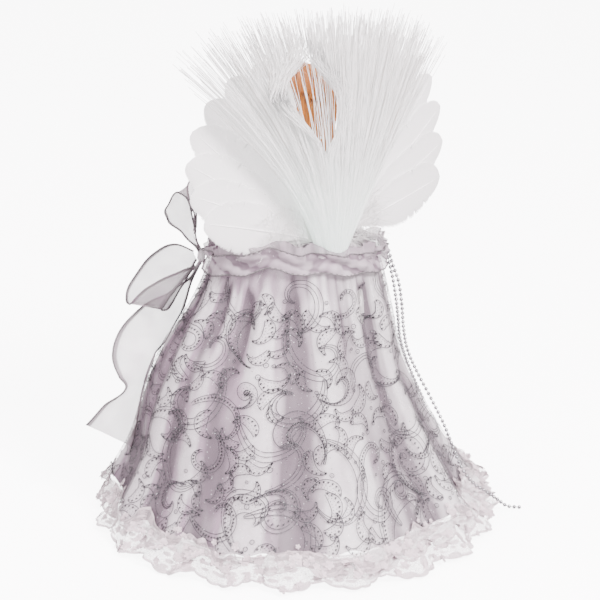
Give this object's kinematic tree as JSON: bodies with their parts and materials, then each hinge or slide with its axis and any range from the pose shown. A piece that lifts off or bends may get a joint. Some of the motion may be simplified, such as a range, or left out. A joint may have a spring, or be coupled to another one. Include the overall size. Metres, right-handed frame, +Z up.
{
  "type": "angel tree topper",
  "caption": "Angel figure on a hollow cone that slips over a tree top, with feather wings, a fibre-optic spray behind the head, a printed gown with a lace hem, a ribbon bow and bead strings.",
  "frame": {"origin": "middle of the cone's foot, on the surface that the figure stands on", "axes": "+Z up along the cone, the face looks along -Y, the figure's left is +X"},
  "size_m": [0.237, 0.237, 0.3012],
  "materials": {
    "white_plastic": "smooth moulded",
    "satin": "white satin with a lilac cast",
    "organza": "sheer organza with glitter print",
    "lace": "white floral lace",
    "ribbon": "sheer ribbon with wired silver-grey edges",
    "silver_beads": "silver plated",
    "feather": "white goose feather",
    "fibre": "clear polymer fibre",
    "porcelain": "painted skin tone",
    "hair": "copper doll hair",
    "card": "white card",
    "ferrule_metal": "plated",
    "black_plastic": "smooth moulded",
    "case_plastic": "smooth moulded",
    "led": "clear lens",
    "board": "circuit board",
    "cell": "plain sleeve"
  },
  "bodies": {
    "figure": {"cone_shell": "white_plastic", "leader_tube": "white_plastic", "torso_core": "white_plastic", "underskirt": "satin", "bodice": "satin", "waist_yoke": "satin", "outer_skirt": "organza", "left_sleeve": "organza", "right_sleeve": "organza", "lace_flounce": "lace", "waist_sash": "ribbon", "bow_upper_loop": "ribbon", "bow_lower_loop": "ribbon", "bow_tail": "ribbon", "bow_knot": "ribbon", "bead_string_long": "silver_beads", "bead_string_short": "silver_beads", "left_feather_1": "feather", "left_feather_2": "feather", "left_feather_3": "feather", "left_feather_4": "feather", "left_feather_5": "feather", "left_feather_6": "feather", "left_feather_7": "feather", "right_feather_1": "feather", "right_feather_2": "feather", "right_feather_3": "feather", "right_feather_4": "feather", "right_feather_5": "feather", "right_feather_6": "feather", "right_feather_7": "feather", "fibre_spray": "fibre", "head": "porcelain", "left_hand": "porcelain", "right_hand": "porcelain", "hair": "hair", "wing_card": "card", "fibre_ferrule": "ferrule_metal", "lower_contact": "ferrule_metal", "upper_contact": "ferrule_metal", "lamp_holder": "black_plastic", "battery_case": "case_plastic", "led_lamp": "led", "led_board": "board", "battery_cell_1": "cell", "battery_cell_2": "cell", "battery_cell_3": "cell"},
    "switch": {"switch_slider": "black_plastic"},
    "cover": {"battery_cover": "case_plastic"}
  },
  "joints": [
    {"name": "switch_slide", "type": "slide", "parent": "figure", "child": "switch", "axis": [1, 0, 0], "range_m": [0, 0.004]},
    {"name": "cover_slide", "type": "slide", "parent": "figure", "child": "cover", "axis": [0, 0, -1], "range_m": [0, 0.056]}
  ]
}
